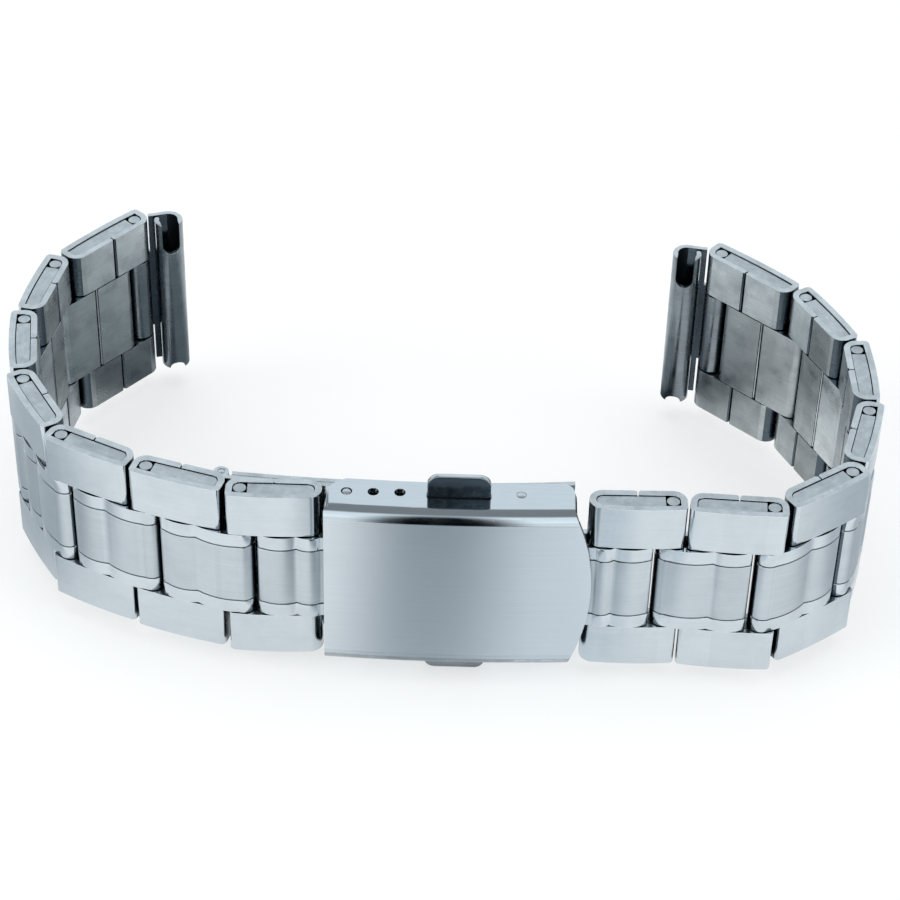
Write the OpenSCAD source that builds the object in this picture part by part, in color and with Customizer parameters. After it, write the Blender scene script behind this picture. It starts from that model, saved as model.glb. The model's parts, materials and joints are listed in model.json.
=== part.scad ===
// Link watch bracelet of folded sheet links with a push-button folding clasp.
// It stands on its lower edge, as on a table: +X to the viewer's right, the clasp
// in front at -Y, the two ends that hold the watch behind at +Y, +Z up.
// Along each half, "near" means towards the clasp and "far" towards the watch.

/* [Band] */
// Width of each outer row of links
outer_row_w = 4.6; // [3.6:0.1:6]
// Width of the centre row of links
centre_row_w = 9.5; // [8.6:0.1:11]
// Gap between neighbouring rows
row_gap = 0.1; // [0.06:0.01:0.2]
// Thickness of a link without its crown
link_t = 2.5; // [2.3:0.05:2.9]
// Thickness of the sheet that the links are folded from
sheet_t = 0.6; // [0.5:0.05:0.7]
// Distance from one link pin to the next
pitch = 8.9; // [8.4:0.1:10]
// The same distance in the longer last link of each half
last_pitch = 10.2; // [9:0.1:12]
// Distance from the clasp's spring bar to the first pin of the left half
first_reach = 9.4; // [9:0.1:10.4]
// Gap between the outer links of neighbouring units
outer_gap = 0.25; // [0.2:0.05:0.4]
// Gap between the centre links of neighbouring units
centre_gap = 0.2; // [0.1:0.02:0.4]
// Bending radius of the links' front corners
front_corner = 0.45; // [0.4:0.05:1.1]
// Height of the gentle crown on an outer link's front
outer_crown = 0.15; // [0.1:0.05:0.25]
// Height of each of the two humps on a centre link's front
hump_crown = 0.3; // [0.2:0.05:0.35]
// Distance from a centre link's far end to the crease between its humps
crease_back = 3.5; // [2.8:0.1:4]
// Distance of the fine grooves from a centre link's edges
groove_inset = 1.4; // [1:0.1:2]
// Width of the fine grooves
groove_w = 0.16; // [0.1:0.02:0.3]
// Depth of the fine grooves
groove_depth = 0.12; // [0.06:0.02:0.2]
// Width of the seam where the folded sheet meets on the wrist side
seam_w = 0.12; // [0.08:0.02:0.2]
// Radius of the rolled edges beside the seam
seam_roll = 0.22; // [0.15:0.01:0.3]
// Distance of the pins and inserts below the band's edges
core_inset = 0.12; // [0.05:0.01:0.3]

/* [Pose] */
// Inward bend at each joint of the left half, from the clasp to the end piece, in degrees
left_bends = [0, 17, 9, 34, 23, 19, 30, 32]; // [-15:1:41]
// Inward bend at each joint of the right half, from the clasp to the end piece, in degrees
right_bends = [1, -4, 38, 40, 17, 26, 21, 31]; // [-15:1:41]

/* [Clasp cover] */
// Length of the cover along its rims
cover_len = 22.05; // [21.5:0.05:23]
// How far the cover's middle lies right of the clasp's middle
cover_shift = 0.07; // [0:0.01:0.1]
// Gap between the cover's left edge and the first outer links
cover_gap = 0.2; // [0.15:0.01:0.3]
// How far the cover's right edge bulges past its rims
cover_bulge = 1.84; // [1.2:0.02:1.9]
// How much narrower the cover is than the band, on each side
cover_inset = 0.15; // [0.05:0.05:0.3]
// Sheet thickness of the cover
cover_t = 0.5; // [0.4:0.05:0.55]
// Distance from the links' mid-plane to the cover's front face
cover_front = 2.4; // [2.35:0.05:2.8]
// Depth of the cover from its front face to the back edge of its walls
cover_depth = 4.2; // [4:0.1:4.6]
// Corner radius of the cover's outline
cover_corner = 0.5; // [0.3:0.1:0.8]
// Radius of the bend between the face and the walls
cover_bend = 0.9; // [0.7:0.05:1.2]
// Radius of the face's crown along the band
cover_crown_r = 173; // [160:1:240]
// Corner radius of the walls at the spring bar's end
wall_corner_left = 2.7; // [2:0.1:3.2]
// Corner radius of the walls at the hinge end
wall_corner_right = 1.2; // [0.8:0.1:1.8]
// Diameter of the row of spring bar holes
hole_d = 1; // [0.96:0.02:1.1]
// Distance between neighbouring spring bar holes
hole_step = 2.35; // [2.3:0.05:2.4]

/* [Clasp pivots] */
// Place of the spring bar along the clasp, left of its middle
bar_x = 9; // [8.8:0.1:9.3]
// Place of the spring bar behind the right half's mid-plane
bar_y = 0.35; // [0.2:0.05:0.45]
// Place of the cover hinge, right of the middle
cover_hinge_x = 6.4; // [6.2:0.1:6.8]
// Place of the cover hinge behind the mid-plane
cover_hinge_y = 0.45; // [0.3:0.05:0.6]
// Place of the fold hinge between the two blades, left of the middle
fold_x = 20.3; // [19.8:0.1:20.6]
// Place of the fold hinge behind the mid-plane
fold_y = 3.4; // [3.35:0.05:3.6]
// Place of the hinge that carries the right half, right of the middle
band_hinge_x = 10.85; // [10.6:0.05:11]
// Diameter of the cover hinge's pin
cover_pin_d = 0.9; // [0.7:0.05:1]
// Diameter of the fold hinge's pin
fold_pin_d = 0.7; // [0.6:0.05:0.8]
// Outer diameter of the fold hinge's knuckles
fold_knuckle_d = 1.4; // [1.3:0.05:1.5]

/* [Blades] */
// Thickness of the two blades
blade_t = 0.5; // [0.4:0.05:0.55]
// Gap between the folded blades
blade_gap = 0.05; // [0.03:0.01:0.1]
// Side clearance of the blades inside the cover
blade_side = 0.3; // [0.2:0.05:0.5]
// Distance from the mid-plane to the inner blade's front, at its middle
blade_front = 1.65; // [1.6:0.05:1.75]
// Bending radius of the blades
blade_r = 157; // [140:1:200]
// Place of the blades' shallowest point, left of the clasp's middle
blade_mid = 3.5; // [3:0.1:4]
// Thickness of the blades' ears, measured across the band
ear_t = 0.6; // [0.5:0.05:0.7]

/* [Buttons] */
// Width of each button along the band
button_w = 5.6; // [5:0.1:6]
// Thickness of each button
button_t = 0.6; // [0.5:0.05:0.65]
// How far each button stands out of the band's edge
button_out = 2.2; // [1.8:0.1:2.8]
// Corner radius of the buttons
button_corner = 1; // [0.6:0.1:1.4]
// Place of the buttons' middle, right of the clasp's middle
button_x = 0.9; // [0.7:0.1:1.1]
// Place of the buttons' middle behind the mid-plane
button_y = 0.1; // [0:0.05:0.2]
// Travel of each button
press = 1; // [0.8:0.05:1.1]
// Width of each shoulder that keeps a button in the cover
shoulder = 0.8; // [0.6:0.1:0.9]
// Clearance of the buttons in their slots and rails
slide_gap = 0.05; // [0.03:0.01:0.08]

/* [End pieces] */
// Width of the end pieces, which fit between the watch's lugs
lug_w = 17.9; // [17.4:0.1:18.1]
// Bore of the tube for the watch's spring bar
tube_bore = 1.8; // [1.6:0.1:2]
// Sheet thickness of the end pieces
end_sheet = 0.5; // [0.4:0.05:0.55]
// Distance from the last pin to the middle of the tube
tube_reach = 3.35; // [3.2:0.05:4]
// Angle of the open slit along the tube, in degrees
tube_slit = 70; // [50:5:80]
// Depth of the notch in the tube's upper end
notch_deep = 3.3; // [2.5:0.1:4]
// Width of that notch
notch_w = 1.7; // [1.4:0.1:1.8]
// Radius of the small notch in the tube's lower end
nick_r = 0.75; // [0.5:0.05:0.9]

/* [Hidden] */
$fn = 48;
eps = 0.01;
far = 60;
over = 1;
steel = [0.76, 0.79, 0.81];
brushed = [0.7, 0.73, 0.76];
dark_steel = [0.5, 0.53, 0.56];

// The band
half = ["left", "right"];
bends = [left_bends, right_bends];
links = len(right_bends) - 1;
band_w = 2 * outer_row_w + 2 * row_gap + centre_row_w;
mid_z = band_w / 2;
centre_z = outer_row_w + row_gap;
link_r = link_t / 2;
pin_gap = 0.05;
void_r = link_r - sheet_t;
pin_r = void_r - pin_gap;
inner_corner = 0.05;
groove_skin = 3;

// The clasp
cover_left = cover_shift - cover_len / 2;
cover_right = cover_left + cover_len;
cover_w = band_w - 2 * cover_inset;
cover_inner_w = cover_w - 2 * cover_t;
inner_z = cover_inset + cover_t;
fillet = cover_bend - cover_t;
bulge_r = (pow(cover_w / 2, 2) + pow(cover_bulge, 2)) / (2 * cover_bulge);
crown_centre = cover_crown_r - cover_front;
wall_back = crown_centre - sqrt(pow(cover_crown_r - cover_depth, 2) - pow(cover_len / 2, 2));
blade_w = cover_inner_w - 2 * blade_side;
blade_z = mid_z - blade_w / 2;
outer_blade_front = blade_front + blade_t + blade_gap;
blade_centre = blade_front + blade_r;
fold_share = 4.25;
fold_gap = 0.1;
running = 0.04;
fold_clear = fold_knuckle_d / 2 + 0.3;
fold_seat = 0.2;
first_tip = -cover_left - bar_x + cover_gap;
hump_start_left = first_tip + 0.1;
hump_start_right = cover_right + cover_bulge - band_hinge_x + cover_gap;
band_hinge_y = 0;
ear_gap = 0.15;

// The blades' ears: radius round the pivot, foot before it and reach past it
cover_ear = [0.85, 2.2, 0.8];
band_ear = [1, 2.4, 0.35];

// The buttons
bar_half = press + 0.7;
bar_w = 1.5;
window_w = button_w - 2;
window_top = 7;
window_clear = 0.4;
lip_over = press / 2;
lip_gap = 0.1;
lip_t = 0.55;
hook_w = 2.4;
hook_t = 0.6;
peg_r = 0.2;
peg_len = 0.6;
plate_w = button_w + 2 * shoulder;
rail_len = 3;
rail_t = 0.5;

// The springs and the spring bar
latch_coil = [0.4, 0.12, 7];
bar_coil = [0.33, 0.07, 14];
bar_bore_r = pin_r - 0.15;
tip_r = bar_bore_r - 0.03;
tip_in = 3.4;
bar_end = inner_z + 0.15;

// The end pieces
tube_r = tube_bore / 2 + end_sheet;
tube_y = tube_r - link_r;
end_z = (band_w - lug_w) / 2;

// Heading of a unit of one half, and the pin at its near end, before mirroring
first_pins = [[bar_x, bar_y], [band_hinge_x, band_hinge_y]];
function unit_len(s, k) = k == links ? last_pitch : (s == 0 && k == 1 ? first_reach : pitch);
function heading(s, k) = k == 0 ? 0 : heading(s, k - 1) + bends[s][k - 1];
function along(a) = [cos(a), sin(a)];
function outward(a) = [sin(a), -cos(a)];
function pin_at(s, k) =
    k == 1 ? first_pins[s] : pin_at(s, k - 1) + unit_len(s, k - 1) * along(heading(s, k - 1));

// Lengthwise places in a unit, from its near pin
function outer_corners(k) = [k == 1 ? link_r : front_corner, front_corner];
function outer_near(s, k) = s == 0 && k == 1 ? first_tip : link_r + outer_gap;
function outer_far(s, k) = unit_len(s, k) + link_r;
function centre_far(s, k) = unit_len(s, k) - link_r - centre_gap;
function crease(s, k) = centre_far(s, k) - crease_back;
function hump_start(s, k) = k > 1 ? 0 : (s == 0 ? hump_start_left : hump_start_right);

// The object's outermost places, which centre it on its origin
function hump_top(s, k, x) =
    pin_at(s, k) + x * along(heading(s, k)) + (link_r + hump_crown) * outward(heading(s, k));
function side_reach(s) = max([for (k = [1:links]) for (x = [crease(s, k) / 2, crease(s, k)
    + (centre_far(s, k) - front_corner - crease(s, k)) / 2]) hump_top(s, k, x)[0]]);
function end_centre(s) = pin_at(s, links + 1) + tube_reach * along(heading(s, links + 1))
    - tube_y * outward(heading(s, links + 1));
back_reach = max(end_centre(0)[1], end_centre(1)[1]) + tube_r;
shift_x = (side_reach(1) - side_reach(0)) / 2;
shift_y = (back_reach - cover_front) / 2;

// Places a clasp piece, drawn with the mid-plane at y = 0 and the band's lower edge at z = 0
module on_clasp() {
    translate([-shift_x, -shift_y, button_out]) children();
}

// Places a piece drawn from a unit's near pin, with +x far along the band and +y inwards
module on_unit(s, k) {
    on_clasp() mirror([s == 0 ? 1 : 0, 0, 0]) translate(concat(pin_at(s, k), 0))
        rotate(heading(s, k)) children();
}

// Repeats a piece on both edges of the band
module both_edges() {
    children();
    translate([0, 0, band_w]) mirror([0, 0, 1]) children();
}

// Segment of a large circle that crowns the front between the two places in ends, its skin
// deeper by inset, and kept between the places low and high
module crown(ends, height, inset, low, high) {
    span = ends[1] - ends[0];
    r = (span * span / 4 + height * height) / (2 * height);
    x0 = max(ends[0], low);
    x1 = min(ends[1], high);
    intersection() {
        translate([x0, -link_r - height]) square([x1 - x0, height + link_r]);
        translate([(ends[0] + ends[1]) / 2, r - link_r - height]) circle(r - inset, $fn = 180);
    }
}

// Rounded end of a link section, towards -x, with its front corner bent to another radius
module link_end(corner, inset) {
    r = link_r - inset;
    c = max(corner - inset, inner_corner);
    circle(r);
    if (c < r) {
        translate([c - r, c - r]) circle(c);
        translate([-r, c - r]) square([r, r - c]);
        translate([c - r, -r]) square([r - c, r]);
    }
}

// Section of a link with round ends and crowned front, inset all round; corners holds the
// radii of its front corners at the near and the far end
module link_section(x0, x1, corners, crowns, height, inset) {
    r = link_r - inset;
    translate([x0 + link_r, 0]) link_end(corners[0], inset);
    translate([x1 - link_r, 0]) mirror([1, 0]) link_end(corners[1], inset);
    translate([x0 + link_r, -r]) square([x1 - x0 - link_t, 2 * r]);
    for (ends = crowns) crown(ends, height, inset, x0 + inset, x1 - inset);
}

// Sheet folded round a link section, its edges meeting on the wrist side
module folded_sheet(x0, x1, corners, crowns, height) {
    seam_x = (x0 + x1) / 2;
    difference() {
        link_section(x0, x1, corners, crowns, height, 0);
        link_section(x0, x1, corners, crowns, height, sheet_t);
        translate([seam_x - seam_w / 2, 0]) square([seam_w, link_t]);
        translate([seam_x, link_r + seam_roll / 3]) circle(seam_roll);
    }
}

// The two outer links of a unit
module outer_links(s, k) {
    x0 = outer_near(s, k);
    x1 = outer_far(s, k);
    corners = outer_corners(k);
    color(steel) both_edges() linear_extrude(outer_row_w)
        folded_sheet(x0, x1, corners, [[x0 + corners[0], x1 - corners[1]]], outer_crown);
}

// The centre link of a unit, with two humps and two fine grooves across its front
module centre_link(s, k) {
    x0 = -link_r;
    x1 = centre_far(s, k);
    corners = [link_r, front_corner];
    crowns = [[hump_start(s, k), crease(s, k)], [crease(s, k), x1 - front_corner]];
    color(brushed) difference() {
        translate([0, 0, centre_z]) linear_extrude(centre_row_w)
            folded_sheet(x0, x1, corners, crowns, hump_crown);
        both_edges() translate([0, 0, centre_z + groove_inset]) linear_extrude(groove_w)
            difference() {
                translate([x0 - eps, -link_r - groove_skin])
                    square([x1 - x0 + 2 * eps, link_r + groove_skin]);
                link_section(x0, x1, corners, crowns, hump_crown, groove_depth);
            }
    }
}

// Section of the insert that fills a folded outer link up to its pin
module insert_section(s, k) {
    x0 = outer_near(s, k);
    x1 = outer_far(s, k);
    corners = outer_corners(k);
    difference() {
        link_section(x0, x1, corners, [[x0 + corners[0], x1 - corners[1]]], outer_crown,
            sheet_t + pin_gap);
        translate([unit_len(s, k) - void_r, -link_t]) square(2 * link_t);
    }
}

// The insert that ties a unit's three rows together, and the pin at its far end
module link_core(s, k) {
    plate_near = outer_near(s, k) + link_r;
    plate_far = centre_far(s, k) - link_r;
    color(dark_steel) {
        both_edges() translate([0, 0, core_inset]) linear_extrude(outer_row_w - core_inset)
            insert_section(s, k);
        translate([plate_near, -pin_r, outer_row_w - over])
            cube([plate_far - plate_near, 2 * pin_r, centre_row_w + 2 * (row_gap + over)]);
        translate([unit_len(s, k), 0, core_inset]) cylinder(r = pin_r, h = band_w - 2 * core_inset);
    }
}

// Section of the cover across the band: a channel with bent edges, x towards its front
module channel(inset, back) {
    w = cover_w - 2 * inset;
    r = cover_bend - inset;
    front = cover_depth - inset;
    translate([-back, -w / 2]) square([front - r + back, w]);
    translate([-back, r - w / 2]) square([front + back, w - 2 * r]);
    for (side = [-1, 1]) translate([front - r, side * (w / 2 - r)]) circle(r);
}

// What rounding takes off a corner at the origin, whose piece lies towards +x and +y
module corner_cut(r) {
    difference() {
        translate([-over, -over]) square([r + over, r + over]);
        translate([r, r]) circle(r);
    }
}

// Outline of the cover seen from the front, with its bulging right edge
module cover_outline() {
    tip = cover_right + cover_bulge;
    difference() {
        intersection() {
            translate([cover_left, 0]) square([tip - cover_left, band_w]);
            translate([tip - bulge_r, mid_z]) circle(bulge_r, $fn = 180);
        }
        translate([cover_left, cover_inset]) corner_cut(cover_corner);
        translate([cover_left, cover_inset + cover_w]) mirror([0, 1]) corner_cut(cover_corner);
    }
}

// What is cut off one back corner of the walls, at the place x and towards dir
module wall_corner(x, dir, r) {
    translate([x, wall_back]) mirror([dir > 0 ? 1 : 0, 0]) mirror([0, 1]) corner_cut(r);
}

// The cover: a crowned face with two walls that carry the hinge, the bar and the buttons
module clasp_cover() {
    color(brushed) on_clasp() difference() {
        intersection() {
            translate([0, crown_centre, mid_z]) rotate_extrude($fn = 360)
                translate([cover_crown_r - cover_depth, 0]) difference() {
                    channel(0, 0);
                    channel(cover_t, 1);
                }
            rotate([90, 0, 0]) translate([0, 0, -far / 2]) linear_extrude(far) cover_outline();
            linear_extrude(band_w) difference() {
                translate([-far / 2, -far / 2]) square([far, far]);
                wall_corner(cover_left, -1, wall_corner_left);
                wall_corner(cover_right, 1, wall_corner_right);
            }
        }
        for (i = [0:2]) translate([-bar_x + i * hole_step, bar_y, -eps])
            cylinder(d = hole_d, h = band_w + 2 * eps);
        translate([cover_hinge_x, cover_hinge_y, -eps])
            cylinder(d = cover_pin_d, h = band_w + 2 * eps);
        translate([button_x - button_w / 2 - slide_gap, button_y - button_t / 2 - slide_gap, -eps])
            cube([button_w + 2 * slide_gap, button_t + 2 * slide_gap, band_w + 2 * eps]);
    }
}

// Section of one rail, seated on the inside of the cover's face, x towards the buttons
module rail_section() {
    lip = rail_t;
    gap = button_t / 2 + slide_gap;
    translate([-rail_t, -cover_front]) square([rail_t, cover_front + gap + lip]);
    for (y = [-gap - lip, gap]) translate([-eps, y]) square([lip, lip]);
}

// Four short rails that the shoulders of the buttons slide in, clear of the cover's inner fillets
module button_guides() {
    edge = plate_w / 2 + slide_gap;
    color(dark_steel) on_clasp() both_edges() translate([0, 0, inner_z + fillet])
        linear_extrude(rail_len) intersection() {
            translate([button_x, button_y]) {
                translate([-edge, 0]) rail_section();
                mirror([1, 0]) translate([-edge, 0]) rail_section();
            }
            translate([0, crown_centre]) circle(cover_crown_r - cover_t, $fn = 360);
        }
}

module cover_hinge_pin() {
    color(steel) on_clasp() translate([cover_hinge_x, cover_hinge_y, cover_inset])
        cylinder(d = cover_pin_d, h = cover_w);
}

// Section of a bent blade between two places along the clasp
module blade_section(front, x0, x1) {
    r = blade_centre - front;
    intersection() {
        translate([-blade_mid, blade_centre]) difference() {
            circle(r, $fn = 360);
            circle(r - blade_t, $fn = 360);
        }
        translate([x0, 0]) square([x1 - x0, far]);
    }
}

// Straight-sided ear that reaches from a blade down to a pivot
module ear_section(front, pivot, ear) {
    root = front + pow(pivot[0] + blade_mid, 2) / (2 * blade_r) + blade_t / 2;
    translate(pivot) circle(ear[0]);
    polygon([pivot + [-ear[0], 0], pivot + [ear[0], 0], [pivot[0] + ear[2], root],
        [pivot[0] - ear[1], root]]);
}

// Ring of a fold hinge knuckle
module fold_ring() {
    translate([-fold_x, fold_y]) circle(d = fold_knuckle_d);
}

// The blade next to the links: ears on the cover hinge, knuckles at the fold, a latch window
module inner_blade() {
    z1 = blade_z + fold_share;
    color(steel) on_clasp() difference() {
        union() {
            difference() {
                translate([0, 0, blade_z]) linear_extrude(blade_w)
                    blade_section(blade_front, fold_seat - fold_x, cover_hinge_x + cover_ear[2]);
                translate([-fold_x - over, 0, z1])
                    cube([over + fold_clear, far, blade_w - 2 * fold_share]);
                translate([button_x - window_w / 2 - window_clear, 0, mid_z - window_top])
                    cube([window_w + 2 * window_clear, far, 2 * window_top]);
            }
            both_edges() translate([0, 0, blade_z]) linear_extrude(fold_share) fold_ring();
            both_edges() translate([0, 0, blade_z]) linear_extrude(ear_t)
                ear_section(blade_front, [cover_hinge_x, cover_hinge_y], cover_ear);
        }
        translate([-fold_x, fold_y, 0]) cylinder(d = fold_pin_d, h = band_w);
        translate([cover_hinge_x, cover_hinge_y, 0])
            cylinder(d = cover_pin_d + 2 * running, h = band_w);
    }
}

module fold_hinge_pin() {
    color(steel) on_clasp() translate([-fold_x, fold_y, blade_z])
        cylinder(d = fold_pin_d, h = blade_w);
}

// Hook that catches behind one button's bar, drawn for the upper button
module hook() {
    post_z = bar_half + bar_w + lip_gap;
    bar_front = button_y - button_t / 2;
    lip_back = bar_front - lip_gap;
    root = outer_blade_front + blade_t / 2;
    translate([button_x - hook_w / 2, 0, mid_z + post_z]) rotate([90, 0, 90])
        linear_extrude(hook_w) polygon([[root, 0], [root, hook_t], [lip_back - lip_t, hook_t],
            [lip_back - lip_t, 0], [lip_back - lip_t / 3, -lip_over - lip_gap],
            [lip_back, -lip_over - lip_gap], [lip_back, 0]]);
}

// The blade next to the wrist: knuckle at the fold, latch hooks, ears that carry the right half
module outer_blade() {
    notch = fold_share + fold_gap;
    ear_z = centre_z - ear_gap - ear_t;
    color(steel) on_clasp() difference() {
        union() {
            difference() {
                translate([0, 0, blade_z]) linear_extrude(blade_w)
                    blade_section(outer_blade_front, -fold_x, band_hinge_x + band_ear[2]);
                both_edges() translate([-fold_x - over, 0, -over])
                    cube([over + fold_clear, far, over + blade_z + notch]);
            }
            translate([0, 0, blade_z + notch]) linear_extrude(blade_w - 2 * notch) fold_ring();
            both_edges() translate([0, 0, ear_z]) linear_extrude(ear_t)
                ear_section(outer_blade_front, [band_hinge_x, band_hinge_y], band_ear);
            both_edges() hook();
        }
        translate([-fold_x, fold_y, 0]) cylinder(d = fold_pin_d + 2 * running, h = band_w);
        translate([band_hinge_x, band_hinge_y, 0]) cylinder(r = pin_r, h = band_w);
    }
}

module band_hinge_pin() {
    ear_z = centre_z - ear_gap - ear_t;
    color(steel) on_clasp() translate([band_hinge_x, band_hinge_y, ear_z])
        cylinder(r = pin_r, h = band_w - 2 * ear_z);
}

// Rounded tab that the finger presses, from z = 0 upwards
module tab_outline(h) {
    r = button_corner;
    translate([-button_w / 2, 0]) square([button_w, h - r]);
    translate([r - button_w / 2, 0]) square([button_w - 2 * r, h]);
    for (side = [-1, 1]) translate([side * (button_w / 2 - r), h - r]) circle(r);
}

// One button, drawn for the upper edge: tab, shoulders, window, and the bar that a hook holds
module upper_button() {
    shoulder_top = mid_z - inner_z - slide_gap;
    color(steel) on_clasp() translate([button_x, button_y, mid_z]) {
        rotate([90, 0, 0]) translate([0, 0, -button_t / 2]) linear_extrude(button_t) difference() {
            union() {
                translate([0, bar_half]) tab_outline(mid_z + button_out - bar_half);
                translate([-plate_w / 2, bar_half]) square([plate_w, shoulder_top - bar_half]);
            }
            translate([-window_w / 2, bar_half + bar_w])
                square([window_w, window_top - bar_half - bar_w]);
        }
        translate([0, 0, bar_half - peg_len]) cylinder(r = peg_r, h = peg_len + eps);
    }
}

module lower_button() {
    translate([0, 0, band_w + 2 * button_out]) mirror([0, 0, 1]) upper_button();
}

// Coil spring along z, centred on z = 0: c holds coil radius, wire radius and turns
function ring_at(c, len, i, rings) = let (
    t = i / rings,
    a = 360 * c[2] * t,
    z = (len / 2 - c[1]) * (2 * t - 1)
) [for (j = [0:5]) let (b = 60 * j) [(c[0] + c[1] * cos(b)) * cos(a),
    (c[0] + c[1] * cos(b)) * sin(a), z + c[1] * sin(b)]];

module coil(c, len) {
    rings = 8 * c[2];
    points = [for (i = [0:rings]) each ring_at(c, len, i, rings)];
    sides = [for (i = [0:rings - 1]) for (j = [0:5]) let (n = (j + 1) % 6)
        each [[6 * i + j, 6 * i + n, 6 * i + 6 + n], [6 * i + j, 6 * i + 6 + n, 6 * i + 6 + j]]];
    last = 6 * rings;
    caps = [for (j = [1:4]) each [[0, j + 1, j], [last, last + j, last + j + 1]]];
    polyhedron(points, concat(sides, caps));
}

// Spring between the two buttons
module latch_spring() {
    color(steel) on_clasp() translate([button_x, button_y, mid_z])
        coil(latch_coil, 2 * bar_half - 2 * eps);
}

// The clasp's spring bar: a tube with a sprung tip at each end
module spring_bar_tube() {
    color(steel) on_clasp() translate([-bar_x, bar_y, bar_end]) difference() {
        cylinder(r = pin_r, h = band_w - 2 * bar_end);
        translate([0, 0, -eps]) cylinder(r = bar_bore_r, h = band_w - 2 * bar_end + 2 * eps);
    }
}

module spring_bar_lower_tip() {
    color(steel) on_clasp() translate([-bar_x, bar_y, cover_inset])
        cylinder(r = tip_r, h = bar_end - cover_inset + tip_in);
}

module spring_bar_upper_tip() {
    color(steel) on_clasp() translate([-bar_x, bar_y, band_w - bar_end - tip_in])
        cylinder(r = tip_r, h = bar_end - cover_inset + tip_in);
}

module spring_bar_coil() {
    color(dark_steel) on_clasp() translate([-bar_x, bar_y, mid_z])
        coil(bar_coil, band_w - 2 * bar_end - 2 * tip_in - 2 * eps);
}

// Section of the spring bar tube: a rolled sheet, open in a slit towards the last link
module tube_section() {
    slit_start = 270 - tube_slit;
    reach = 2 * tube_r;
    translate([tube_reach, tube_y]) {
        difference() {
            circle(tube_r);
            circle(d = tube_bore);
            polygon([[0, 0], reach * along(slit_start), reach * along(225), reach * along(270)]);
        }
        translate((tube_r - end_sheet / 2) * along(slit_start)) circle(d = end_sheet);
    }
}

// Flat plate that runs from the place x0 to the top of the tube
module end_plate(x0) {
    translate([x0, -link_r]) square([tube_reach - x0, end_sheet]);
}

// End piece: rolled knuckle on the last pin, plate, and the tube between the watch's lugs
module end_piece() {
    knuckle_z = centre_z + row_gap;
    color(steel) difference() {
        union() {
            translate([0, 0, end_z]) linear_extrude(lug_w) {
                tube_section();
                end_plate(link_r + outer_gap);
            }
            translate([0, 0, knuckle_z]) linear_extrude(band_w - 2 * knuckle_z) difference() {
                union() {
                    circle(link_r);
                    end_plate(0);
                }
                circle(void_r);
            }
        }
        translate([tube_reach, tube_y, end_z + lug_w]) rotate([-90, 0, 0]) linear_extrude(far) {
            translate([-notch_w / 2, -eps]) square([notch_w, notch_deep - notch_w / 2]);
            translate([0, notch_deep - notch_w / 2]) circle(d = notch_w);
        }
        translate([tube_reach, tube_y, end_z]) rotate([-90, 0, 0]) cylinder(r = nick_r, h = far);
    }
}

clasp_cover();
button_guides();
cover_hinge_pin();
inner_blade();
fold_hinge_pin();
outer_blade();
band_hinge_pin();
upper_button();
lower_button();
latch_spring();
spring_bar_tube();
spring_bar_upper_tip();
spring_bar_lower_tip();
spring_bar_coil();
on_unit(0, links + 1) end_piece();  // left_end_piece
on_unit(1, links + 1) end_piece();  // right_end_piece
for (s = [0, 1]) for (k = [1:links]) {
    on_unit(s, k) outer_links(s, k);
    on_unit(s, k) centre_link(s, k);
    on_unit(s, k) link_core(s, k);
}
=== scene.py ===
"""Stainless steel link bracelet with a folding clasp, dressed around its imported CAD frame.

Every length is in metres in the frame's own coordinates: +X to the viewer's right, the clasp
in front at -Y, the watch's end pieces behind at +Y, and +Z up. The real bracelet is folded
from bright stainless sheet: its outer links are polished, its centre links and the clasp's
cover are brushed along the band, and its wrist side is left as it came from the press.
"""

from __future__ import annotations

import json
import logging
import math
from collections.abc import Callable
from dataclasses import dataclass, field
from enum import Enum
from typing import Any

import bmesh
import bpy
from mathutils import Matrix, Vector

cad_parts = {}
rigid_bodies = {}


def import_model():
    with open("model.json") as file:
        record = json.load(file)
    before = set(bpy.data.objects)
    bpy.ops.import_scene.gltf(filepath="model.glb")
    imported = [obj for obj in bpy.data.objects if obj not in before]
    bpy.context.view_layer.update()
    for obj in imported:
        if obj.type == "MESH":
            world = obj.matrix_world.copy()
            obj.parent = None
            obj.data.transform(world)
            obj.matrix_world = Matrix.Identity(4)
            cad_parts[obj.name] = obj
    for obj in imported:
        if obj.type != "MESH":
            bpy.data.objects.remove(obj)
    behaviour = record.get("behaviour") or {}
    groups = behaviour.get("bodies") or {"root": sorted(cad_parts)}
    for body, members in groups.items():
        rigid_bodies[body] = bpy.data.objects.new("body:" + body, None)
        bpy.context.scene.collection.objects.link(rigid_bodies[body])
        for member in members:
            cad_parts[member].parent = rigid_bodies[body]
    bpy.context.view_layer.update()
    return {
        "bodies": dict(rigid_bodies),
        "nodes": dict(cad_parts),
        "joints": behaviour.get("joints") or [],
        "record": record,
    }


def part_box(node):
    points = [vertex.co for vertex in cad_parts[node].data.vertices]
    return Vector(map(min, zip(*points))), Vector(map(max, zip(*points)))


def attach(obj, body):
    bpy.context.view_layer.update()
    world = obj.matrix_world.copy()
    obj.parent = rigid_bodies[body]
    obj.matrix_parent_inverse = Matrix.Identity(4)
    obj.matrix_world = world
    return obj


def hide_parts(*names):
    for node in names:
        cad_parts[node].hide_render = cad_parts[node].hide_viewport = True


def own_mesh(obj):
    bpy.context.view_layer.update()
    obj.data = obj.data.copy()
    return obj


MM = 0.001
LOG = logging.getLogger("bracelet")

# Each piece has two UV maps: one for its grain and one that numbers its folded flaps. A
# flap takes half of a link's length.
GRAIN_MAP = "grain"
FLAP_MAP = "flap"
FLAP_LENGTH = 4.45 * MM
# The grain map's shift across the piece for each millimetre of its shift along it.
ACROSS_SHIFT = 1.7

# In the CAD's mesh, corners this near are one corner, and faces this nearly level are one.
MERGE_DISTANCE = 0.001 * MM
LEVEL_ANGLE = math.radians(0.2)
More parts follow.
